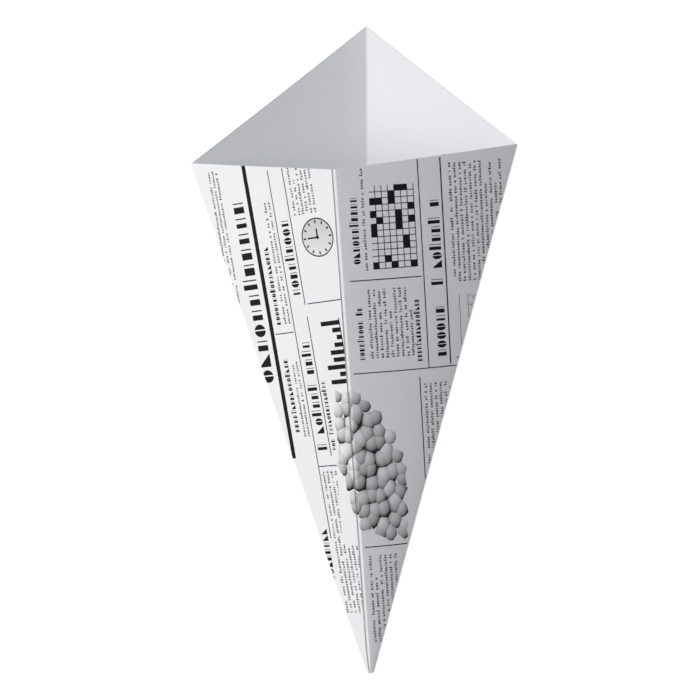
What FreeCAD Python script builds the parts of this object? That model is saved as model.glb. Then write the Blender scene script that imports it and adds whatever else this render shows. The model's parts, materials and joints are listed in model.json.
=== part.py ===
import FreeCAD, Part
import math
import os
from FreeCAD import Vector

# A food cone folded from one die-cut sheet of card. Four triangular panels meet
# in a point. Three scored folds join them, and a glue flap, folded in from the
# right panel, closes the seam down the front. Opened, the cone has a four-sided
# mouth with a tall back and a low front.
# Lengths are in millimetres and angles in degrees.

# The sheet
card_thickness = 0.45
panel_angle = 19.1           # of each panel, at the point
side_length = 216.0          # from the point to the rim, along each side fold
front_length = 200.0         # from the point to the rim, along the front seam
back_length = 261.5          # from the point to the rim, along the back fold
tip_trim = 6.0               # the point is rounded off, and ends at this height

# The opened cone
mouth_opening = 15.1         # angle between the front seam and the back fold
back_fold_radius = 2.2       # inside, at the rim: this fold was never pressed flat
tip_closed = 9.0             # the layers of card lie pressed together up to this height

# The front seam
seam_setback = 0.7           # the lapped edge stops this far short of the flap's fold
flap_width = 13.0
flap_lower_slope = 10.0      # between the flap's lower edge and its fold
flap_below_rim = 1.0         # at the fold, and its far corner is cut back further
flap_upper_taper = 8.0

# Stubs on the front rim, left where the sheet was held in its die
nick_width = 0.9
nick_height = 0.35
left_nick_place = 0.36       # shares of the way from the seam to the side fold
right_nick_place = 0.61


# Fold lines, as unit vectors from the point. The cone stands on its point here,
# with its axis along +Z and its front towards -Y.
front_lean = math.radians(mouth_opening / 2)
side_lean = math.acos(math.cos(math.radians(panel_angle)) / math.cos(front_lean))
left = Vector(-math.sin(side_lean), 0, math.cos(side_lean))
right = Vector(math.sin(side_lean), 0, math.cos(side_lean))
front = Vector(0, -math.sin(front_lean), math.cos(front_lean))
back = Vector(0, math.sin(front_lean), math.cos(front_lean))

# Outward normals of the four panels
front_left = front.cross(left).normalize()
back_left = left.cross(back).normalize()
back_right = back.cross(right).normalize()
front_right = right.cross(front).normalize()

# The walls are made too long, and then cut to the rim.
over_length = 1.25 * max(side_length, front_length, back_length)
section_top = over_length * math.cos(front_lean)


def corner(z, panel_a, depth_a, panel_b, depth_b):
    """Where two panel faces cross at height z, each taken at a depth into the card."""
    ca = -depth_a - panel_a.z * z
    cb = -depth_b - panel_b.z * z
    det = panel_a.x * panel_b.y - panel_a.y * panel_b.x
    return Vector((ca * panel_b.y - cb * panel_a.y) / det,
                  (panel_a.x * cb - panel_b.x * ca) / det, z)


def closed_wire(corners):
    """A wire through (point, radius) corners. Where two roundings would meet on a
    side that is too short for both, they shrink to fit it."""
    count = len(corners)
    points = [point for point, radius in corners]
    sides = [points[(i + 1) % count] - points[i] for i in range(count)]
    halves = [(sides[i - 1] * -1).getAngle(sides[i]) / 2 for i in range(count)]
    runs = [corners[i][1] / math.tan(halves[i]) for i in range(count)]
    room = [0.9 * sides[i].Length / max(runs[i] + runs[(i + 1) % count], 1e-9)
            for i in range(count)]
    runs = [runs[i] * min(1, room[i - 1], room[i]) for i in range(count)]

    starts, ends, edges = [], [], []
    for i in range(count):
        came = sides[i - 1] / sides[i - 1].Length
        goes = sides[i] / sides[i].Length
        starts.append(points[i] - came * runs[i])
        ends.append(points[i] + goes * runs[i])
    for i in range(count):
        if runs[i] > 0:
            inward = (sides[i] / sides[i].Length - sides[i - 1] / sides[i - 1].Length).normalize()
            radius = runs[i] * math.tan(halves[i])
            middle = points[i] + inward * (radius / math.sin(halves[i]) - radius)
            edges.append(Part.Arc(starts[i], middle, ends[i]).toShape())
        edges.append(Part.LineSegment(ends[i], starts[(i + 1) % count]).toShape())
    return Part.Wire(edges)


def soft_radius(z):
    """The back fold's inside radius grows evenly from the point to the rim."""
    return back_fold_radius * z / (back_length * math.cos(front_lean))


def outside_section(z):
    """The outer outline at height z, with the step where the front panels lap."""
    t = card_thickness
    seam = corner(z, front_left, 0, front_right, 0)
    left_corner = corner(z, front_left, 0, back_left, 0)
    across_panel = left_corner - seam
    setback = min(seam_setback, 0.35 * across_panel.Length)
    lap_edge = seam + across_panel * (setback / across_panel.Length)
    into_card = Vector(-front_left.x, -front_left.y, 0)
    lap_foot = lap_edge + into_card * (t / into_card.Length ** 2)
    return closed_wire([
        (left_corner, t),
        (corner(z, back_left, 0, back_right, 0), soft_radius(z) + t),
        (corner(z, back_right, 0, front_right, 0), t),
        (corner(z, front_right, 0, front_left, t), t),
        (lap_foot, 0),
        (lap_edge, 0),
    ])


def inside_section(z):
    """The inner outline at height z. The side folds were pressed flat, so they are sharp."""
    t = card_thickness
    return closed_wire([
        (corner(z, front_left, t, back_left, t), 0),
        (corner(z, back_left, t, back_right, t), soft_radius(z)),
        (corner(z, back_right, t, front_right, t), 0),
        (corner(z, front_right, t, front_left, t), 0),
    ])


def tapered_solid(section, bottom):
    """Join a section near the point to the same section above the rim, with planes
    for the panels and ruled surfaces for the folds."""
    low, high = section(bottom), section(section_top)
    faces = [Part.Face(low), Part.Face(high)]
    for below, above in zip(low.OrderedEdges, high.OrderedEdges):
        if isinstance(below.Curve, Part.Line):
            outline = [below.firstVertex(True).Point, below.lastVertex(True).Point,
                       above.lastVertex(True).Point, above.firstVertex(True).Point]
            faces.append(Part.Face(Part.makePolygon(outline + outline[:1])))
        else:
            faces.append(Part.makeRuledSurface(below, above))
    shell = Part.makeShell(faces)
    shell.sewShape()
    return Part.Solid(shell)


def slab(outline, normal, from_depth, to_depth):
    """A flat slab between two depths of a panel, from points on its outer face."""
    points = [point - normal * from_depth for point in outline]
    face = Part.Face(Part.makePolygon(points + points[:1]))
    return face.extrude(normal * (from_depth - to_depth))


def glue_flap(outside):
    """The flap lies against the inside of the front left panel, behind its lapped edge."""
    t = card_thickness
    across = front_left.cross(front)
    if across.x > 0:
        across = across * -1
    full_width_from = flap_width / math.tan(math.radians(flap_lower_slope))
    fold_strip = seam_setback + t
    top = front_length - flap_below_rim
    outline = [(0, -3 * t), (0, 0), (full_width_from, flap_width),
               (top - flap_upper_taper, flap_width), (top, fold_strip),
               (over_length, fold_strip), (over_length, -3 * t)]
    points = [front * along + across * away for along, away in outline]
    return slab(points, front_left, t, 2 * t).common(outside)


def above_rim(fold, fold_length, side, normal):
    """What lies above a panel's rim, square to the sheet, in the panel's own half."""
    reach = 1.2 * over_length
    deep = back_fold_radius + 3 * card_thickness
    outline = [fold * fold_length, side * side_length, side * reach, fold * reach]
    block = slab(outline, normal, -card_thickness, deep)
    half = Part.makeBox(4 * reach, 2 * reach, 2 * reach)
    nearest = -2 * reach if normal.y < 0 else 0
    half.translate(Vector(-2 * reach, nearest, 0))
    return block.common(half)


def nick(side, normal, place):
    """A stub of card on the rim of a front panel."""
    seam_end, side_end = front * front_length, side * side_length
    along = (side_end - seam_end).normalize()
    away = along.cross(normal).normalize()
    if away.z < 0:
        away = away * -1
    middle = seam_end + (side_end - seam_end) * place
    half = along * (nick_width / 2)
    outline = [middle - half - away * nick_width, middle + half - away * nick_width,
               middle + half + away * nick_height, middle - half + away * nick_height]
    return slab(outline, normal, 0, card_thickness)


def round_off_point():
    """What is cut away to round the point, seen from the front. The round runs smoothly
    into both side folds."""
    slope = math.sin(side_lean)
    sides_meet = card_thickness * (-1 / front_left.z - 1 / slope)
    radius = (tip_trim - sides_meet) * slope / (1 - slope)
    middle = tip_trim + radius
    reach = 3 * radius
    below = Part.makeBox(2 * reach, 2 * reach, middle - radius * slope)
    below.translate(Vector(-reach, -reach, 0))
    return below.cut(Part.makeCylinder(radius, 2 * reach, Vector(0, -reach, middle),
                                       Vector(0, 1, 0)))


def folded_cone():
    # Below this height the inner faces of the panels would cross.
    faces_cross = -card_thickness / front_left.z
    outside = tapered_solid(outside_section, 0.9 * tip_trim)
    hollow = tapered_solid(inside_section, max(tip_closed, 1.1 * faces_cross))
    sheet = outside.cut(hollow).fuse(glue_flap(outside))
    sheet = sheet.cut([
        round_off_point(),
        above_rim(front, front_length, left, front_left),
        above_rim(front, front_length, right, front_right),
        above_rim(back, back_length, left, back_left),
        above_rim(back, back_length, right, back_right),
    ])
    sheet = sheet.fuse([
        nick(left, front_left, left_nick_place),
        nick(right, front_right, right_nick_place),
    ])
    return sheet.removeSplitter()


def laid_down(shape):
    """Turn the cone onto its back right panel, with its point towards -Y."""
    up = back_right * -1
    axis = Vector(0, 0, 1)
    ahead = (axis - up * axis.dot(up)).normalize()
    across = ahead.cross(up)
    turn = FreeCAD.Matrix(across.x, across.y, across.z, 0,
                          ahead.x, ahead.y, ahead.z, 0,
                          up.x, up.y, up.z, 0,
                          0, 0, 0, 1)
    shape = shape.transformed(turn)
    box = shape.optimalBoundingBox()
    shape.translate(Vector(-box.Center.x, -box.Center.y, -box.ZMin))
    return shape


os.makedirs("parts", exist_ok=True)
cone = laid_down(folded_cone())
cone.exportStep("parts/folded_cone.step")
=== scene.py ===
import bpy
import json
from math import acos, atan2, cos, pi, radians, sin, tan
from mathutils import Matrix, Vector

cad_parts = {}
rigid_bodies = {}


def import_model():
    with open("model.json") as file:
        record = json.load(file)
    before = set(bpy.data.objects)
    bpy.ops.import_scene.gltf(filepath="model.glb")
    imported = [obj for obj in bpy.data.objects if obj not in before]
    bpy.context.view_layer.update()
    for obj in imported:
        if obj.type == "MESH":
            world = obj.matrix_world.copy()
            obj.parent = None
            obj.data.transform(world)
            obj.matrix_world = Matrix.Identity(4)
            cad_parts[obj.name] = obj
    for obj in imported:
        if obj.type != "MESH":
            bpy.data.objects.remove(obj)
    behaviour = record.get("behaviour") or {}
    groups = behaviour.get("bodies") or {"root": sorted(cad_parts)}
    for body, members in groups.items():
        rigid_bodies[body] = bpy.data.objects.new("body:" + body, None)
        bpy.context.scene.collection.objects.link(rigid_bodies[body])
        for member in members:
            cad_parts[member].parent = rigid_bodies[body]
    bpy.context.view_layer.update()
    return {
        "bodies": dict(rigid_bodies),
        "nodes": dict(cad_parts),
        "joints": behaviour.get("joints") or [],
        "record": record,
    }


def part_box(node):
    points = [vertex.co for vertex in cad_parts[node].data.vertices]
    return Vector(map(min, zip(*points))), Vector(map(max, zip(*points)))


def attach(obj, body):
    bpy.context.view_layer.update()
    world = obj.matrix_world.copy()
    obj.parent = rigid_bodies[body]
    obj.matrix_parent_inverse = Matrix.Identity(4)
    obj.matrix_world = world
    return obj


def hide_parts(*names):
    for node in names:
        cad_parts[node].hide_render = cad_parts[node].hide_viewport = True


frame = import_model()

mm = 0.001

# The blank is drawn flat with its printed side down, and then folded up around the
# back right panel, which stays on the floor.
blank = {
    "thickness": 0.45 * mm,
    "panelAngle": radians(19.1),
    "sideLength": 216.0 * mm,
    "frontLength": 200.0 * mm,
    "backLength": 261.5 * mm,
    "mouthOpening": radians(15.1),
    "backFoldRadius": 2.2 * mm,
    "seamFoldRadius": 1.0 * mm,
    "seamSetback": 0.95 * mm,
    "lapTaper": 12.0 * mm,         # nearer the point than this, the seam grows narrower
    "glueGap": 0.03 * mm,          # between the flap and the panel it is glued to
    "flapWidth": 13.0 * mm,
    "flapLowerSlope": radians(10.0),
    "flapBelowRim": 1.0 * mm,
    "flapUpperTaper": 8.0 * mm,
    "tipFrom": 2.45 * mm,          # the point ends this far from where the creases meet
    "tipRound": 1.1 * mm,          # and this much further at the side folds, as it is round
    "nickWidth": 0.9 * mm,
    "nickHeight": 0.35 * mm,
    "leftNickPlace": 0.36,         # shares of the way from the seam to the side fold
    "rightNickPlace": 0.61,
    # how far a panel bulges, and how much nearer to its next fold than to the last
    "bows": {"frontRight": (2.1 * mm, 0.33), "backLeft": (1.6 * mm, -0.33),
             "frontLeft": (0.4 * mm, 0.0)},
    "rows": 44,
    "panelColumns": 9,
    "foldMargin": 0.4 * mm,        # the panels are flat up to this close to a fold
    "foldSteps": {"side": 8, "back": 10, "seam": 6},    # facets in the round of each fold
}


def openedCone():
    # how far each fold is bent once the cone is open, and how it lies
    frontLean = blank["mouthOpening"] / 2
    sideLean = acos(cos(blank["panelAngle"]) / cos(frontLean))
    left = Vector((-sin(sideLean), 0, cos(sideLean)))
    right = Vector((sin(sideLean), 0, cos(sideLean)))
    front = Vector((0, -sin(frontLean), cos(frontLean)))
    back = Vector((0, sin(frontLean), cos(frontLean)))
    frontLeft = front.cross(left).normalized()
    backLeft = left.cross(back).normalized()
    backRight = back.cross(right).normalized()
    ahead = (Vector((0, 0, 1)) - backRight * backRight.z).normalized()
    across = backRight.cross(ahead)
    creasesMeet = -blank["thickness"] / frontLeft.z    # height, inside the card
    return {
        "sideBend": frontLeft.angle(backLeft),
        "backBend": backLeft.angle(backRight),
        "rightCrease": atan2(right.dot(ahead), right.dot(across)),
        "sideLength": blank["sideLength"] - creasesMeet / cos(sideLean),
        "frontLength": blank["frontLength"] - creasesMeet / cos(frontLean),
        "backLength": blank["backLength"] - creasesMeet / cos(frontLean),
    }


opened = openedCone()
# the seam bends as much as the back fold, because they are opposite corners of the mouth
bends = {"side": opened["sideBend"], "back": opened["backBend"], "seam": opened["backBend"]}
rightCrease = opened["rightCrease"]
backCrease = rightCrease + blank["panelAngle"]
leftCrease = backCrease + blank["panelAngle"]
leftSeam = leftCrease + blank["panelAngle"]
rightSeam = rightCrease - blank["panelAngle"]
# the flap lies one layer deeper, so its crease is moved in by a slanting thickness
flapShift = (blank["thickness"] + blank["glueGap"]) / sin(opened["backBend"])
edgeShift = blank["thickness"] * tan(opened["backBend"] / 2) - blank["seamSetback"]


def rimLine(angle, fromAngle, fromLength, toAngle, toLength):
    # distance to the straight rim between the ends of two creases
    between = sin(toAngle - fromAngle)
    ends = sin(toAngle - angle) / fromLength + sin(angle - fromAngle) / toLength
    return between / ends


def tipLine(angle):
    # the point is rounded, so it is cut highest at the two side folds
    away = min(abs(angle - rightCrease), abs(angle - leftCrease)) / blank["panelAngle"]
    return blank["tipFrom"] + blank["tipRound"] * max(0, 1 - away) ** 3


def sheetColumns():
    # every column is a line of the flat sheet, from the point to the rim
    columns, folds = [], []
    side, front, back = opened["sideLength"], opened["frontLength"], opened["backLength"]

    def column(angle, rim, shift=0.0, flap=None, bow=0.0):
        columns.append({"angle": angle, "tip": tipLine(angle), "rim": rim,
                        "shift": shift, "flap": flap, "bow": bow})

    # each fold is spread over a narrow fan of lines, which is wider where it is soft
    fans = {"side": 0.0, "edge": 0.0,
            "back": blank["backFoldRadius"] * bends["back"] / back,
            "seam": blank["seamFoldRadius"] * bends["seam"] / front}

    def crease(angle, bend, rimAt, shift=0.0):
        steps = blank["foldSteps"][bend]
        for step in range(steps + 1):
            line = angle + fans[bend] * (step / steps - 0.5)
            column(line, rimAt(line), shift)
            if step < steps:
                folds.append({"after": len(columns) - 1, "angle": line + fans[bend] / steps / 2,
                              "shift": shift, "bend": bend, "steps": steps})

    def panel(start, end, nick=None, bow=(0.0, 0.0)):
        # from one fold to the next, each with its bend, angle, rim and shift
        (fromBend, fromAngle, fromRim, fromShift), (toBend, toAngle, toRim, toShift) = start, end
        first = fromAngle + fans[fromBend] / 2 + blank["foldMargin"] / front
        last = toAngle - fans[toBend] / 2 - blank["foldMargin"] / front
        inner = (last - first) / (blank["panelColumns"] - 1)
        lines = [(first + inner * k, 0.0) for k in range(blank["panelColumns"])]
        if nick:
            half = blank["nickWidth"] / front / 2
            step = half * 0.15
            lines += [(nick - half - step, 0.0), (nick - half, blank["nickHeight"]),
                      (nick + half, blank["nickHeight"]), (nick + half + step, 0.0)]
        for angle, raised in sorted(lines):
            share = (angle - fromAngle) / (toAngle - fromAngle)
            rim = rimLine(angle, fromAngle, fromRim, toAngle, toRim) + raised
            shift = fromShift + (toShift - fromShift) * share
            bulge = 4 * share * (1 - share) * (1 + bow[1] * (2 * share - 1))
            column(angle, rim, shift, bow=bow[0] * bulge)

    # the flap, from its free edge to its fold: each line's share of the slope of the lower
    # edge, its distance from the fold and where it ends
    strip = blank["seamSetback"] + blank["thickness"]
    top = front - blank["flapBelowRim"]
    width, taper = blank["flapWidth"], blank["flapUpperTaper"]
    for share, away, rim in (
        (1.0, width, top - taper),
        (0.8, width * 0.5, top - taper * 0.46),
        (0.6, strip + 0.1 * mm, top),
        (0.5, strip, front),
        (0.2, strip * 0.4, front),
    ):
        column(rightSeam, rim, flapShift, (share, away))
    seamFold = ("seam", rightSeam, front, flapShift)
    rightFold, leftFold = ("side", rightCrease, side, 0.0), ("side", leftCrease, side, 0.0)
    backFold = ("back", backCrease, back, 0.0)
    lapEdge = ("edge", leftSeam, front, edgeShift)

    def backRim(angle):
        if angle < backCrease:
            return rimLine(angle, rightCrease, side, backCrease, back)
        return rimLine(angle, backCrease, back, leftCrease, side)

    crease(rightSeam, "seam", lambda angle: front, flapShift)
    nick = rightSeam + (rightCrease - rightSeam) * blank["rightNickPlace"]
    panel(seamFold, rightFold, nick, blank["bows"]["frontRight"])
    crease(rightCrease, "side", lambda angle: side)
    panel(rightFold, backFold)
    crease(backCrease, "back", backRim)
    panel(backFold, leftFold, bow=blank["bows"]["backLeft"])
    crease(leftCrease, "side", lambda angle: side)
    nick = leftSeam + (leftCrease - leftSeam) * blank["leftNickPlace"]
    panel(leftFold, lapEdge, nick, blank["bows"]["frontLeft"])
    column(leftSeam, front, edgeShift)
    return columns, folds


def placeOn(column, s):
    # a point of the flat sheet, at distance s along a column
    shift = column["shift"] * min(1, s / blank["lapTaper"])
    if column["flap"]:
        share, away = column["flap"]
        shift -= min(away, share * s * tan(blank["flapLowerSlope"]))
    angle = column["angle"]
    return Vector((s * cos(angle) - shift * sin(angle), s * sin(angle) + shift * cos(angle), 0))


def flatSheet(columns):
    # A closed plate, with its column number on each point and its side on each face. It
    # already has the panels' bulges, which grow from the point to the rim.
    rows, last = blank["rows"], len(columns) - 1
    points, flatPlaces, columnNumbers = [], [], []
    for layer in (0.0, blank["thickness"]):
        for row in range(rows + 1):
            for number, column in enumerate(columns):
                s = column["tip"] + (column["rim"] - column["tip"]) * row / rows
                place = placeOn(column, s)
                flatPlaces.append((place.x / mm, place.y / mm))
                points.append((place.x, place.y, layer - column["bow"] * s / column["rim"]))
                columnNumbers.append(number)

    def at(layer, row, number):
        return (layer * (rows + 1) + row) * (last + 1) + number

    faces, sides = [], []
    for row in range(rows):
        for number in range(last):
            ring = [(row, number), (row + 1, number), (row + 1, number + 1), (row, number + 1)]
            faces.append([at(0, *spot) for spot in reversed(ring)])
            faces.append([at(1, *spot) for spot in ring])
            onLeftPage = columns[number]["angle"] + columns[number + 1]["angle"] > 2 * backCrease
            sides += [0 if onLeftPage else 1, 2]
    for row in range(rows):
        faces.append([at(0, row, last), at(1, row, last), at(1, row + 1, last), at(0, row + 1, last)])
        faces.append([at(0, row + 1, 0), at(1, row + 1, 0), at(1, row, 0), at(0, row, 0)])
        sides += [3, 3]
    for number in range(last):
        faces.append([at(0, rows, number), at(0, rows, number + 1),
                      at(1, rows, number + 1), at(1, rows, number)])
        faces.append([at(1, 0, number), at(1, 0, number + 1), at(0, 0, number + 1), at(0, 0, number)])
        sides += [3, 3]

    mesh = bpy.data.meshes.new("flatSheet")
    mesh.from_pydata(points, [], faces)
    mesh.attributes.new("columnNumber", "INT", "POINT").data.foreach_set("value", columnNumbers)
    mesh.attributes.new("sheetSide", "INT", "FACE").data.foreach_set("value", sides)
    sheetMap = mesh.uv_layers.new(name="sheetMap")
    for loop in mesh.loops:
        sheetMap.data[loop.index].uv = flatPlaces[loop.vertex_index]
    return mesh


def feed(tree, socket, value):
    if isinstance(value, bpy.types.NodeSocket):
        tree.links.new(value, socket)
    else:
        socket.default_value = value


def addNode(tree, kind, inputs=(), **settings):
    node = tree.nodes.new(kind)
    for name, value in settings.items():
        setattr(node, name, value)
    for key, value in dict(inputs).items():
        feed(tree, node.inputs[key], value)
    return node


def op(tree, kind, *values):
    return addNode(tree, "ShaderNodeMath", dict(enumerate(values)), operation=kind).outputs[0]


def wholeNumber(tree, name):
    # an integer that the sheet carries, and a test of it
    attribute = addNode(tree, "GeometryNodeInputNamedAttribute", {"Name": name}, data_type="INT")
    value = next(socket for socket in attribute.outputs if socket.enabled)

    def test(operation, other):
        node = addNode(tree, "FunctionNodeCompare", data_type="INT", operation=operation)
        sockets = {socket.identifier: socket for socket in node.inputs}
        feed(tree, sockets["A_INT"], value)
        feed(tree, sockets["B_INT"], other)
        return node.outputs["Result"]

    return test


def foldingTree(columns, folds, cardMaterials):
    tree = bpy.data.node_groups.new("foldUpSheet", "GeometryNodeTree")
    face = tree.interface
    face.new_socket("Sheet", in_out="INPUT", socket_type="NodeSocketGeometry")
    inputs = {"Card thickness": blank["thickness"]}
    inputs.update({bend.capitalize() + " bend": angle for bend, angle in bends.items()})
    values = {}
    for name, value in inputs.items():
        socket = face.new_socket(name, in_out="INPUT", socket_type="NodeSocketFloat")
        values[socket.identifier] = value
    face.new_socket("Cone", in_out="OUTPUT", socket_type="NodeSocketGeometry")
    start, end = addNode(tree, "NodeGroupInput"), addNode(tree, "NodeGroupOutput")
    column = wholeNumber(tree, "columnNumber")
    position = addNode(tree, "GeometryNodeInputPosition").outputs[0]

    # The panels beyond a crease turn about it, and the furthest crease goes first.
    stays = next(k for k, c in enumerate(columns) if c["angle"] > rightCrease)
    rightFolds = [fold for fold in folds if fold["after"] < stays]
    leftFolds = [fold for fold in folds if fold["after"] >= stays]
    flow = start.outputs["Sheet"]
    for fold in rightFolds + leftFolds[::-1]:
        onRight = fold in rightFolds
        angle, shift = fold["angle"], fold["shift"]
        centre = addNode(tree, "ShaderNodeCombineXYZ", {
            0: -shift * sin(angle), 1: shift * cos(angle), 2: start.outputs["Card thickness"]})
        share = op(tree, "MULTIPLY", start.outputs[fold["bend"].capitalize() + " bend"],
                   (-1 if onRight else 1) / fold["steps"])
        turned = addNode(tree, "ShaderNodeVectorRotate", {
            "Vector": position, "Center": centre.outputs[0],
            "Axis": (cos(angle), sin(angle), 0), "Angle": share}, rotation_type="AXIS_ANGLE")
        beyond = column("LESS_EQUAL" if onRight else "GREATER_THAN", fold["after"])
        flow = addNode(tree, "GeometryNodeSetPosition", {
            "Geometry": flow, "Selection": beyond, "Position": turned.outputs[0]}).outputs[0]

    flow = addNode(tree, "GeometryNodeMergeByDistance",
                   {"Geometry": flow, "Distance": 0.001 * mm}).outputs[0]
    flow = addNode(tree, "GeometryNodeRealizeInstances", {"Geometry": flow}).outputs[0]
    side = wholeNumber(tree, "sheetSide")
    for number, material in enumerate(cardMaterials):
        flow = addNode(tree, "GeometryNodeSetMaterial", {
            "Geometry": flow, "Selection": side("EQUAL", number), "Material": material}).outputs[0]
    feed(tree, end.inputs[0], flow)
    return tree, values


def foldedCone(cardMaterials):
    columns, folds = sheetColumns()
    sheet = bpy.data.objects.new("sheetToFold", flatSheet(columns))
    bpy.context.scene.collection.objects.link(sheet)
    tree, values = foldingTree(columns, folds, cardMaterials)
    modifier = sheet.modifiers.new("foldUp", "NODES")
    modifier.node_group = tree
    for identifier, value in values.items():
        modifier[identifier] = value
    bpy.context.view_layer.update()
    solved = sheet.evaluated_get(bpy.context.evaluated_depsgraph_get())
    mesh = bpy.data.meshes.new_from_object(solved)
    bpy.data.objects.remove(sheet)

    # onto the place of the part that it stands for
    low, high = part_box("folded_cone")
    lowest, highest = [Vector(map(pick, zip(*(v.co for v in mesh.vertices)))) for pick in (min, max)]
    mesh.transform(Matrix.Translation((
        (low.x + high.x - lowest.x - highest.x) / 2, high.y - highest.y, low.z - lowest.z)))
    mesh.shade_smooth()
    mesh.set_sharp_from_angle(angle=radians(30))
    mesh.name = "foldedCone"
    cone = bpy.data.objects.new("foldedCone", mesh)
    bpy.context.scene.collection.objects.link(cone)
    return cone


# The print, in millimetres. The left and right halves of the sheet are two pages, each
# turned to suit its own front panel. A place is (from, to) along the page, away from the
# cone's point, and then (from, to) up the page, the way the tops of its lines face.
leftPage = {
    "turn": leftSeam - radians(7.0),        # the way its lines run on the flat sheet
    "seam": leftSeam,
    "sideFold": leftCrease,
    "rules": [
        (88, 203, 17.2, 19.1), (56, 199, 6.6, 7.0), (84, 84.4, -12, 6.6),
        (146.5, 146.9, -20, -1.6), (146.5, 199, -0.5, -0.1), (88, 142, -0.5, -0.1),
        (136.5, 136.9, 7.6, 16.6),
    ],
    "heads": [                      # from, to, foot, height and width of a mark
        (112, 191, 21.4, 7.0, 6.0), (150, 184, 1.0, 4.6, 3.3), (90, 134, 1.0, 4.6, 3.3),
        (140, 172, 13.0, 2.6, 1.8), (98, 128, 13.0, 2.6, 1.8), (90, 118, -3.2, 2.3, 1.5),
        (34, 62, 8.2, 3.6, 2.6),
    ],
    "text": [
        (140, 196, 7.8, 11.8), (96, 134, 7.8, 11.6), (26, 82, -9.5, 5.6),
        (180, 203, -14.0, -2.0), (150, 203, 30.5, 36.5),
    ],
    "backStart": 44.0,              # how far up the page the back panel's columns begin
}
rightPage = {
    "turn": rightSeam + radians(0.3),
    "seam": rightSeam,
    "sideFold": rightCrease,
    "rules": [
        (119, 119.4, -44, -1.2), (119, 198, -30.2, -29.8), (120, 198, -38.8, -38.3),
        (154, 154.4, -29, -2.0), (52, 52.4, -18, -1.2), (62, 116, -26.4, -26.0),
    ],
    "heads": [
        (158, 186, -6.6, 3.4, 2.3), (124, 146, -6.0, 2.5, 1.7), (150, 186, -37.2, 4.6, 3.3),
        (123, 144, -37.2, 4.6, 3.3), (122, 146, -27.6, 2.3, 1.5),
    ],
    "text": [
        (124, 151, -24.8, -7.6), (158, 196, -10.6, -8.0), (151, 196, -62.0, -40.5),
        (62, 114, -40.0, -28.0), (15, 49, -14.0, -1.6),
    ],
    "backStart": -74.0,
}


def band(tree, value, low, high):
    return op(tree, "COMPARE", value, (low + high) / 2, (high - low) / 2)


def both(tree, *masks):
    result = masks[0]
    for mask in masks[1:]:
        result = op(tree, "MULTIPLY", result, mask)
    return result


def either(tree, *masks):
    result = masks[0]
    for mask in masks[1:]:
        result = op(tree, "MAXIMUM", result, mask)
    return result


def without(tree, mask, other):
    return op(tree, "MULTIPLY", mask, op(tree, "SUBTRACT", 1.0, other))


def grown(place, margin):
    return (place[0] - margin, place[1] + margin, place[2] - margin, place[3] + margin)


def box(tree, along, up, place):
    return both(tree, band(tree, along, *place[:2]), band(tree, up, *place[2:]))


def dice(tree, x, y, salt):
    # three random numbers for each whole x and y, and each use has its own salt
    spot = addNode(tree, "ShaderNodeCombineXYZ", {0: x, 1: y, 2: salt})
    noise = addNode(tree, "ShaderNodeTexWhiteNoise", {"Vector": spot.outputs[0]},
                    noise_dimensions="3D")
    return addNode(tree, "ShaderNodeSeparateColor", {0: noise.outputs["Color"]}).outputs[:3]


def oval(tree, x, y, place):
    # below 1 inside an oval that fills this place
    wide, high = place[1] - place[0], place[3] - place[2]
    across = op(tree, "MULTIPLY_ADD", x, 2 / wide, -(place[0] + place[1]) / wide)
    above = op(tree, "MULTIPLY_ADD", y, 2 / high, -(place[2] + place[3]) / high)
    return op(tree, "MULTIPLY_ADD", across, across, op(tree, "MULTIPLY", above, above))


# strokes, split discs and wedges that stand in for type and spell nothing
typeForms = {
    "lowTop": 0.74,                 # most marks reach this share of a tall one's height
    "tallShare": 0.3,
    "strokeMiddle": 0.32,           # places across a mark, from 0 to 1
    "strokeHalf": (0.12, 0.26),
    "hairline": (0.72, 0.80),
    "disc": (0.05, 0.87, -0.02, 0.76),
    "discSlit": (0.46, 0.54),
    "discShare": 0.3,
    "wedgeFrom": 0.08,
    "wedgeTo": 0.95,
    "wedgeShare": 0.16,
    "headGaps": 0.10,               # share of the marks left out, as gaps between words
    "textGaps": 0.16,
    "linePitch": 1.95,              # of the fine text, in millimetres
    "lineFoot": 0.26,               # its marks stand this share of a line up
    "markWidth": 0.98,
    "markHeight": 1.15,
    "shortLines": 0.2,              # share of the lines that end early
    "shortBy": 9.0,
}


def typeMarks(tree, x, height, line, salt, gaps=typeForms["headGaps"]):
    # x counts marks, and height is 1 at the top of a tall one
    mark = op(tree, "FLOOR", x)
    across = op(tree, "SUBTRACT", x, mark)
    kindDice, sizeDice, wordDice = dice(tree, mark, line, salt)
    top = op(tree, "MULTIPLY_ADD", op(tree, "GREATER_THAN", wordDice, 1 - typeForms["tallShare"]),
             1 - typeForms["lowTop"], typeForms["lowTop"])
    upright = both(tree, op(tree, "GREATER_THAN", height, 0), op(tree, "LESS_THAN", height, top))
    thin, fat = typeForms["strokeHalf"]
    thick = op(tree, "COMPARE", across, typeForms["strokeMiddle"],
               op(tree, "MULTIPLY_ADD", sizeDice, fat - thin, thin))
    strokes = both(tree, upright, either(tree, thick, band(tree, across, *typeForms["hairline"])))
    wedge = both(tree, upright, op(tree, "GREATER_THAN", across, typeForms["wedgeFrom"]),
                 op(tree, "LESS_THAN", op(tree, "ADD", height, across), typeForms["wedgeTo"]))
    disc = op(tree, "LESS_THAN", oval(tree, across, height, typeForms["disc"]), 1)
    disc = without(tree, disc, band(tree, across, *typeForms["discSlit"]))
    isDisc = op(tree, "GREATER_THAN", kindDice, 1 - typeForms["discShare"])
    isWedge = op(tree, "LESS_THAN", kindDice, typeForms["wedgeShare"])
    marks = either(tree, both(tree, disc, isDisc), both(tree, wedge, isWedge),
                   without(tree, strokes, either(tree, isDisc, isWedge)))
    return both(tree, marks, op(tree, "GREATER_THAN", wordDice, gaps))


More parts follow.
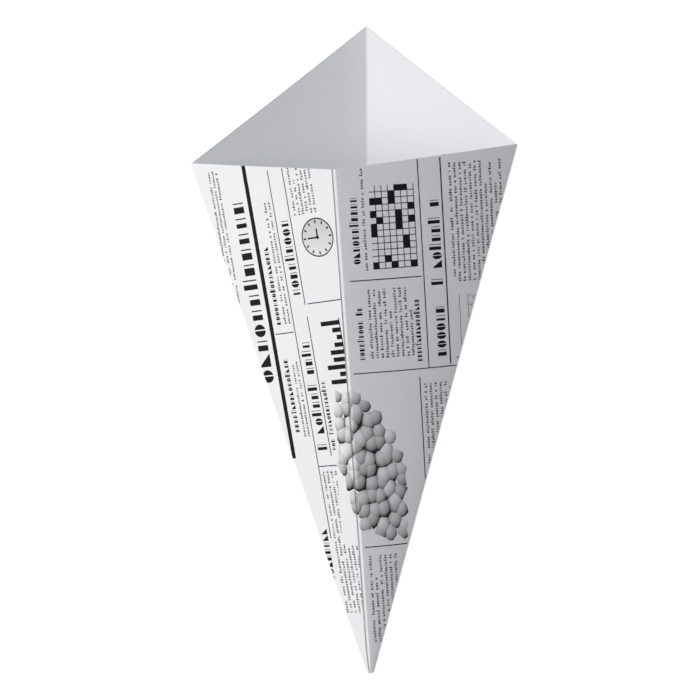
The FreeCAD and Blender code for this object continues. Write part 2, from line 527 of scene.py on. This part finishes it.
def fineText(tree, along, up):
    # with the middle of each line and of each mark, so that a block of it cuts none
    pitch, width = typeForms["linePitch"], typeForms["markWidth"]
    lines, x = op(tree, "DIVIDE", up, pitch), op(tree, "DIVIDE", along, width)
    line, mark = op(tree, "FLOOR", lines), op(tree, "FLOOR", x)
    above = op(tree, "SUBTRACT", op(tree, "SUBTRACT", lines, line), typeForms["lineFoot"])
    height = op(tree, "MULTIPLY", above, pitch / typeForms["markHeight"])
    return (typeMarks(tree, x, height, line, 1.5, typeForms["textGaps"]), line,
            op(tree, "MULTIPLY_ADD", mark, width, width / 2),
            op(tree, "MULTIPLY_ADD", line, pitch, pitch / 2))


def textBlocks(tree, along, up, blocks):
    # all the fine text of a page, and the part of it that these blocks show
    text, line, markAlong, lineUp = fineText(tree, along, up)
    isShort = op(tree, "GREATER_THAN", dice(tree, line, 0.0, 2.5)[0], 1 - typeForms["shortLines"])
    ragged = op(tree, "ADD", markAlong, op(tree, "MULTIPLY", isShort, typeForms["shortBy"]))
    shown = [both(tree, band(tree, lineUp, low, high), op(tree, "GREATER_THAN", markAlong, start),
                  op(tree, "LESS_THAN", ragged, end)) for start, end, low, high in blocks]
    return text, both(tree, text, either(tree, *shown))


def headMarks(tree, along, up, place, salt):
    start, end, foot, height, width = place
    x = op(tree, "DIVIDE", op(tree, "SUBTRACT", along, start), width)
    above = op(tree, "DIVIDE", op(tree, "SUBTRACT", up, foot), height)
    marks = typeMarks(tree, x, above, 0.0, salt)
    return both(tree, marks, band(tree, x, 0, int((end - start) / width)))


# newspaper columns on the back panels, which step down the page
backPrint = {
    "pitch": 42.0,
    "width": 38.0,
    "stepDown": 13.3,               # each column stands this much lower than the last
    "story": 37.0,                  # from one head to the next
    "head": (31.2, 4.6, 3.3),       # foot, height and width of a mark
    "headMarks": (5.5, 10.5),       # fewest and most
    "rule": (29.6, 30.0),
    "lines": (0.5, 28.0),
    "divider": 0.4,
    "begins": 34.0,                 # nothing is printed nearer the point
}


def backColumns(tree, along, up, text, start):
    inner, pitch, story = backPrint["width"], backPrint["pitch"], backPrint["story"]
    columns = op(tree, "DIVIDE", along, pitch)
    column = op(tree, "FLOOR", columns)
    across = op(tree, "MULTIPLY", op(tree, "SUBTRACT", columns, column), pitch)
    inside = band(tree, across, 0, inner)
    stories = op(tree, "DIVIDE", op(tree, "MULTIPLY_ADD", column, backPrint["stepDown"], up), story)
    number = op(tree, "FLOOR", stories)
    height = op(tree, "MULTIPLY", op(tree, "SUBTRACT", stories, number), story)
    foot, tall, wide = backPrint["head"]
    fewest, most = backPrint["headMarks"]
    headEnd = op(tree, "MULTIPLY_ADD", dice(tree, column, number, 7.5)[0], most - fewest, fewest)
    marks = op(tree, "DIVIDE", across, wide)
    above = op(tree, "DIVIDE", op(tree, "SUBTRACT", height, foot), tall)
    head = both(tree, typeMarks(tree, marks, above, number, 8.5),
                op(tree, "LESS_THAN", op(tree, "FLOOR", marks), headEnd))
    rule = both(tree, band(tree, height, *backPrint["rule"]), inside)
    gap, half = (inner + pitch) / 2, backPrint["divider"] / 2
    divider = band(tree, across, gap - half, gap + half)
    lines = both(tree, text, band(tree, height, *backPrint["lines"]), inside)
    onBack = op(tree, "GREATER_THAN" if start > 0 else "LESS_THAN", up, start)
    return both(tree, either(tree, head, rule, divider, lines), onBack,
                op(tree, "GREATER_THAN", along, backPrint["begins"]))


clock = {
    "centre": (171, -11.5),
    "radius": 7.4,
    "rim": 0.5,
    "ticks": (0.72, 0.88),          # shares of the radius
    "tickHalf": 0.10,               # in hours
    "longHand": (0.62, 0.6),        # share of the radius, and width
    "shortHand": (0.45, 0.7),
    "hub": 0.7,
    "grey": (0.2, 0.018),           # at the middle, and more of it further along
}


def clockDial(tree, along, up):
    radius = clock["radius"]
    x = op(tree, "SUBTRACT", along, clock["centre"][0])
    y = op(tree, "SUBTRACT", up, clock["centre"][1])
    away = op(tree, "SQRT", op(tree, "MULTIPLY_ADD", x, x, op(tree, "MULTIPLY", y, y)))
    hour = op(tree, "MULTIPLY", op(tree, "ARCTAN2", y, x), 12 / (2 * pi))
    offHour = op(tree, "ABSOLUTE", op(tree, "SUBTRACT", hour, op(tree, "ROUND", hour)))
    near, far = clock["ticks"]
    ticks = both(tree, op(tree, "LESS_THAN", offHour, clock["tickHalf"]),
                 band(tree, away, radius * near, radius * far))
    (long, longWidth), (short, shortWidth) = clock["longHand"], clock["shortHand"]
    hands = either(tree, box(tree, x, y, (-longWidth / 2, longWidth / 2, 0, radius * long)),
                   box(tree, x, y, (0, radius * short, -shortWidth / 2, shortWidth / 2)),
                   op(tree, "LESS_THAN", away, clock["hub"]))
    grey, rise = clock["grey"]
    face = op(tree, "MULTIPLY", op(tree, "LESS_THAN", away, radius),
              op(tree, "MULTIPLY_ADD", x, rise, grey))
    return either(tree, band(tree, away, radius - clock["rim"], radius), ticks, hands, face)


bars = {
    "place": (98, 140, -15.0, -4.6),
    "pitch": 2.8,
    "width": (0.1, 0.72),           # from and to, as shares of the pitch
    "lowest": 1.5,
    "spread": 0.75,                 # share of the place's height
    "base": 0.4,
}


def barChart(tree, along, up):
    start, end, low, high = bars["place"]
    columns = op(tree, "DIVIDE", op(tree, "SUBTRACT", along, start), bars["pitch"])
    column = op(tree, "FLOOR", columns)
    tops = op(tree, "MULTIPLY_ADD", dice(tree, column, 0.0, 3.5)[0],
              (high - low) * bars["spread"], low + bars["lowest"])
    filled = both(tree, op(tree, "LESS_THAN", up, tops),
                  band(tree, op(tree, "SUBTRACT", columns, column), *bars["width"]))
    base = op(tree, "LESS_THAN", up, low + bars["base"])
    return both(tree, either(tree, filled, base), box(tree, along, up, (start, end, low, high)))


curve = {
    "place": (122, 146, -58.0, -41.0),
    "bumps": 0.16,                  # in a millimetre
    "spread": 1.4,                  # share of the place's height
    "halfLine": 0.35,
    "gridLines": 0.3,               # in a millimetre
    "gridLine": 0.06,               # share of the room between them
    "frame": 0.4,
}


def lineChart(tree, along, up):
    start, end, low, high = curve["place"]
    noise = addNode(tree, "ShaderNodeTexNoise", {"W": op(tree, "MULTIPLY", along, curve["bumps"]),
                    "Detail": 4.0, "Roughness": 0.7}, noise_dimensions="1D")
    spread = (high - low) * curve["spread"]
    middle = op(tree, "MULTIPLY_ADD", noise.outputs[0], spread, (low + high - spread) / 2)
    line = op(tree, "COMPARE", up, middle, curve["halfLine"])
    share = op(tree, "FRACT", op(tree, "MULTIPLY", up, curve["gridLines"]))
    grid = op(tree, "LESS_THAN", share, curve["gridLine"])
    frame = either(tree, op(tree, "LESS_THAN", up, low + curve["frame"]),
                   op(tree, "LESS_THAN", along, start + curve["frame"]))
    return both(tree, either(tree, line, grid, frame), box(tree, along, up, (start, end, low, high)))


puzzle = {
    "place": (158, 189.2, -28.0, -11.2),
    "cell": 2.4,
    "line": 0.13,                   # share of a cell
    "filled": 0.18,                 # share of the cells
}


def puzzleGrid(tree, along, up):
    start, end, low, high = puzzle["place"]
    x = op(tree, "DIVIDE", op(tree, "SUBTRACT", along, start), puzzle["cell"])
    y = op(tree, "DIVIDE", op(tree, "SUBTRACT", up, low), puzzle["cell"])
    cellX, cellY = op(tree, "FLOOR", x), op(tree, "FLOOR", y)
    lines = either(tree, op(tree, "LESS_THAN", op(tree, "SUBTRACT", x, cellX), puzzle["line"]),
                   op(tree, "LESS_THAN", op(tree, "SUBTRACT", y, cellY), puzzle["line"]))
    filled = op(tree, "LESS_THAN", dice(tree, cellX, cellY, 5.5)[0], puzzle["filled"])
    return both(tree, either(tree, lines, filled), box(tree, along, up, (start, end, low, high)))


# a picture in greys of an oval heap of pebbles, lit from one side
heap = {
    "place": (54, 114, -18.0, 7.0),
    "lean": 0.22,
    "margin": 1.2,                  # white paper around the picture
    "perMillimetre": 0.27,
    "squeeze": 0.75,                # pebbles are longer along the page
    "scatter": 0.8,
    "light": (0.13, 0.10, 0),
    "darkness": 0.14,
    "ownGrey": 0.35,                # how far pebbles differ
    "edge": 1.2,
    "greys": (0.04, 0.985),         # lightest and darkest
    "reach": 0.62,                  # of a pebble at the heap's edge
    "core": 0.72,                   # within this, nothing shows between the pebbles
}


def heapPicture(tree, along, up):
    # a pebble belongs to the heap by where its middle is, so none is cut through
    start, end, low, high = heap["place"]
    squeeze, lean = heap["squeeze"], heap["lean"]
    spot = addNode(tree, "ShaderNodeCombineXYZ", {0: op(tree, "MULTIPLY", along, squeeze), 1: up})
    pebbles = addNode(tree, "ShaderNodeTexVoronoi", {
        "Vector": spot.outputs[0], "Scale": heap["perMillimetre"],
        "Randomness": heap["scatter"]}, voronoi_dimensions="2D")
    middle = addNode(tree, "ShaderNodeSeparateXYZ", {0: pebbles.outputs["Position"]})
    middleAlong, middleUp = op(tree, "DIVIDE", middle.outputs[0], squeeze), middle.outputs[1]
    leaning = op(tree, "MULTIPLY_ADD", middleAlong, -lean,
                 op(tree, "ADD", middleUp, lean * (start + end) / 2))
    within = oval(tree, middleAlong, leaning, (start, end, low, high))
    offset = addNode(tree, "ShaderNodeVectorMath", {
        0: spot.outputs[0], 1: pebbles.outputs["Position"]}, operation="SUBTRACT").outputs[0]
    lit = addNode(tree, "ShaderNodeVectorMath", {0: offset, 1: heap["light"]},
                  operation="DOT_PRODUCT").outputs["Value"]
    own = addNode(tree, "ShaderNodeSeparateColor", {0: pebbles.outputs["Color"]}).outputs[0]
    shade = op(tree, "MULTIPLY_ADD", own, heap["ownGrey"],
               op(tree, "SUBTRACT", heap["darkness"], lit))
    away = pebbles.outputs["Distance"]
    edge = op(tree, "MULTIPLY", op(tree, "POWER", away, 3.0), heap["edge"])
    lightest, darkest = heap["greys"]
    dark = op(tree, "MAXIMUM", op(tree, "MINIMUM", op(tree, "ADD", shade, edge), darkest), lightest)
    return both(tree, dark, op(tree, "LESS_THAN", within, 1.0),
                either(tree, op(tree, "LESS_THAN", away, heap["reach"]),
                       op(tree, "LESS_THAN", within, heap["core"])))


def mixed(tree, factor, first, second):
    node = addNode(tree, "ShaderNodeMix", data_type="RGBA")
    sockets = {socket.identifier: socket for socket in node.inputs}
    for name, value in (("Factor_Float", factor), ("A_Color", first), ("B_Color", second)):
        feed(tree, sockets[name], value)
    return next(socket for socket in node.outputs if socket.enabled)


def fibres(tree, spot, scale, detail=3.0):
    return addNode(tree, "ShaderNodeTexNoise", {"Vector": spot, "Scale": scale,
                   "Detail": detail, "Roughness": 0.6}).outputs[0]


card = {
    # colour, roughness, fibres in a metre and how deep they are
    "printed": ((0.92, 0.92, 0.925), 0.55, 900.0, 0.02 * mm),
    "plainInside": ((0.82, 0.822, 0.828), 0.7, 700.0, 0.03 * mm),
    "cutEdge": ((0.86, 0.86, 0.85), 0.8, 2500.0, 0.05 * mm),
    "mottle": 0.015,                # how far the colour varies
    "contrast": 1.6,                # of the mottle
    "gloss": 0.1,
    "bump": 0.35,
    "ink": (0.006, 0.006, 0.007, 1),
    "inkRoughness": 0.7,
    "wornSpots": 2.2,               # in a millimetre
    "wornFrom": 0.44,               # on a fold, spots above this have lost ink
    "wornFade": 0.8,                # each millimetre away from the fold adds this much
    "wornShare": 0.6,               # of the ink that such a spot has lost
}


def cardSurface(name, finish):
    # uncoated card: faintly mottled and very slightly uneven
    colour, roughness, grain, depth = card[finish]
    material = bpy.data.materials.new(name)
    material.use_nodes = True
    tree = material.node_tree
    surface = tree.nodes["Principled BSDF"]
    place = addNode(tree, "ShaderNodeTexCoord").outputs["Object"]
    contrast = card["contrast"]
    mottle = op(tree, "MULTIPLY_ADD", fibres(tree, place, grain), contrast, (1 - contrast) / 2)
    paper = mixed(tree, mottle, [value * (1 - card["mottle"]) for value in colour] + [1],
                  [value * (1 + card["mottle"]) for value in colour] + [1])
    bump = addNode(tree, "ShaderNodeBump", {"Strength": card["bump"], "Distance": depth,
                   "Height": fibres(tree, place, grain * 2.5, 4.0)})
    feed(tree, surface.inputs["Base Color"], paper)
    feed(tree, surface.inputs["Normal"], bump.outputs[0])
    feed(tree, surface.inputs["Roughness"], roughness)
    feed(tree, surface.inputs["Specular IOR Level"], card["gloss"])
    return material, tree, surface, paper


def wornInk(tree, flat, x, y, sideFold):
    # the ink is cracked along the folds that were pressed flat, and takes unevenly
    angle = op(tree, "ARCTAN2", y, x)
    length = op(tree, "SQRT", op(tree, "MULTIPLY_ADD", x, x, op(tree, "MULTIPLY", y, y)))
    offFold = op(tree, "ABSOLUTE", op(
        tree, "MULTIPLY", op(tree, "SUBTRACT", angle, sideFold), length))
    worn = op(tree, "GREATER_THAN", fibres(tree, flat, card["wornSpots"]),
              op(tree, "MULTIPLY_ADD", offFold, card["wornFade"], card["wornFrom"]))
    return op(tree, "MULTIPLY_ADD", worn, -card["wornShare"], 1.0)


def printedCard(name, page, pictures):
    material, tree, surface, paper = cardSurface(name, "printed")
    flat = addNode(tree, "ShaderNodeUVMap", uv_map="sheetMap").outputs[0]
    split = addNode(tree, "ShaderNodeSeparateXYZ", {0: flat})
    x, y = split.outputs[0], split.outputs[1]

    def turned(turn):
        return (op(tree, "MULTIPLY_ADD", x, cos(turn), op(tree, "MULTIPLY", y, sin(turn))),
                op(tree, "MULTIPLY_ADD", x, sin(turn), op(tree, "MULTIPLY", y, -cos(turn))))

    along, up = turned(page["turn"])
    text, shown = textBlocks(tree, along, up, page["text"])
    rules = [box(tree, along, up, rule) for rule in page["rules"]]
    heads = [headMarks(tree, along, up, head, 11.5 + number)
             for number, head in enumerate(page["heads"])]
    drawn = [picture(tree, along, up) for picture in pictures]
    ink = either(tree, shown, *rules, *heads, *drawn,
                 backColumns(tree, along, up, text, page["backStart"]))
    # one picture runs across the seam, and hides what is printed under it
    seamwise = turned(page["seam"])
    under = box(tree, *seamwise, grown(heap["place"], heap["margin"]))
    ink = either(tree, without(tree, ink, under), heapPicture(tree, *seamwise))
    ink = both(tree, ink, wornInk(tree, flat, x, y, page["sideFold"]))
    feed(tree, surface.inputs["Base Color"], mixed(tree, ink, paper, card["ink"]))
    bare = card["printed"][1]
    feed(tree, surface.inputs["Roughness"],
         op(tree, "MULTIPLY_ADD", ink, card["inkRoughness"] - bare, bare))
    return material


print("materials")
printedLeft = printedCard("printedLeft", leftPage, [clockDial, barChart])
printedRight = printedCard("printedRight", rightPage, [puzzleGrid, lineChart])
plainInside = cardSurface("plainInside", "plainInside")[0]
cutEdge = cardSurface("cutEdge", "cutEdge")[0]

print("folding the sheet")
cone = foldedCone([printedLeft, printedRight, plainInside, cutEdge])
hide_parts("folded_cone")
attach(cone, "root")

print("floor, lights and camera")
studio = {
    "floorSize": 6.0,
    "floorColour": (0.8, 0.8, 0.8, 1),
    "floorLift": (0.42, 1.0),      # added to what the camera sees of it, near and far
    "floorNear": (0.2, 0.6),       # where near ends and far begins
    "keyFrom": (-0.47, 0.0, 0.88),
    "keyAway": 1.5,
    "keySize": 1.5,
    "keyPower": 18.0,              # in watts
    "keyColour": (1.0, 0.975, 0.945),
    "fill": (0.388, 0.416, 0.450, 1),  # the room's own light
    "roomLeans": (-0.68, 1.14, 0.0),   # how much brighter the room is on each side
    "cameraAt": (0.4463, -0.0633, 0.6111),
    "cameraBack": (0.6011, -0.0795, 0.7952),
    "cameraUp": (0.0197, 0.9962, 0.0846),
    "lens": 100.0,
}


def seenByCamera(tree):
    rays = addNode(tree, "ShaderNodeLightPath")
    return either(tree, rays.outputs["Is Camera Ray"], rays.outputs["Is Glossy Ray"],
                  rays.outputs["Is Transmission Ray"])


def makeFloor():
    half = studio["floorSize"] / 2
    mesh = bpy.data.meshes.new("floor")
    mesh.from_pydata([(-half, -half, 0), (half, -half, 0), (half, half, 0), (-half, half, 0)],
                     [], [(0, 1, 2, 3)])
    floor = bpy.data.objects.new("floor", mesh)
    bpy.context.scene.collection.objects.link(floor)
    material = bpy.data.materials.new("paleFloor")
    material.use_nodes = True
    tree = material.node_tree
    surface = tree.nodes["Principled BSDF"]
    feed(tree, surface.inputs["Base Color"], studio["floorColour"])
    feed(tree, surface.inputs["Roughness"], 0.9)
    feed(tree, surface.inputs["Specular IOR Level"], 0.0)
    feed(tree, surface.inputs["Emission Color"], (1, 1, 1, 1))
    place = addNode(tree, "ShaderNodeTexCoord").outputs["Object"]
    away = addNode(tree, "ShaderNodeVectorMath", {0: place}, operation="LENGTH").outputs["Value"]
    (near, far), (lift, farLift) = studio["floorNear"], studio["floorLift"]
    blend = addNode(tree, "ShaderNodeMapRange", {
        "Value": away, "From Min": near, "From Max": far, "To Min": lift, "To Max": farLift},
        interpolation_type="SMOOTHSTEP").outputs[0]
    feed(tree, surface.inputs["Emission Strength"], op(tree, "MULTIPLY", seenByCamera(tree), blend))
    mesh.materials.append(material)
    return floor


def makeWorld():
    # the room is darker on the right, and brighter beyond the cone's mouth
    world = bpy.data.worlds.new("studioWorld")
    world.use_nodes = True
    tree = world.node_tree
    toward = addNode(tree, "ShaderNodeTexCoord").outputs["Generated"]
    toSide = addNode(tree, "ShaderNodeVectorMath", {0: toward, 1: studio["roomLeans"]},
                     operation="DOT_PRODUCT").outputs["Value"]
    dimmed = op(tree, "ADD", toSide, 1.0)
    shown = seenByCamera(tree)
    feed(tree, tree.nodes["Background"].inputs["Color"],
         mixed(tree, shown, studio["fill"], (1, 1, 1, 1)))
    feed(tree, tree.nodes["Background"].inputs["Strength"], op(tree, "MAXIMUM", shown, dimmed))
    bpy.context.scene.world = world


def makeKey():
    light = bpy.data.lights.new("keyLight", "AREA")
    light.shape = "DISK"
    light.size = studio["keySize"]
    light.energy = studio["keyPower"]
    light.color = studio["keyColour"]
    key = bpy.data.objects.new("keyLight", light)
    toward = Vector(studio["keyFrom"]).normalized()
    key.location = toward * studio["keyAway"]
    key.rotation_euler = toward.to_track_quat("Z", "Y").to_euler()
    bpy.context.scene.collection.objects.link(key)


def makeCamera():
    lens = bpy.data.cameras.new("mainCamera")
    lens.lens = studio["lens"]
    camera = bpy.data.objects.new("mainCamera", lens)
    back, up = Vector(studio["cameraBack"]).normalized(), Vector(studio["cameraUp"])
    right = up.cross(back).normalized()
    turned = Matrix((right, back.cross(right), back)).transposed()
    camera.matrix_world = Matrix.Translation(studio["cameraAt"]) @ turned.to_4x4()
    bpy.context.scene.collection.objects.link(camera)
    bpy.context.scene.camera = camera


makeFloor()
makeWorld()
makeKey()
makeCamera()
bpy.context.scene.view_settings.view_transform = "Standard"
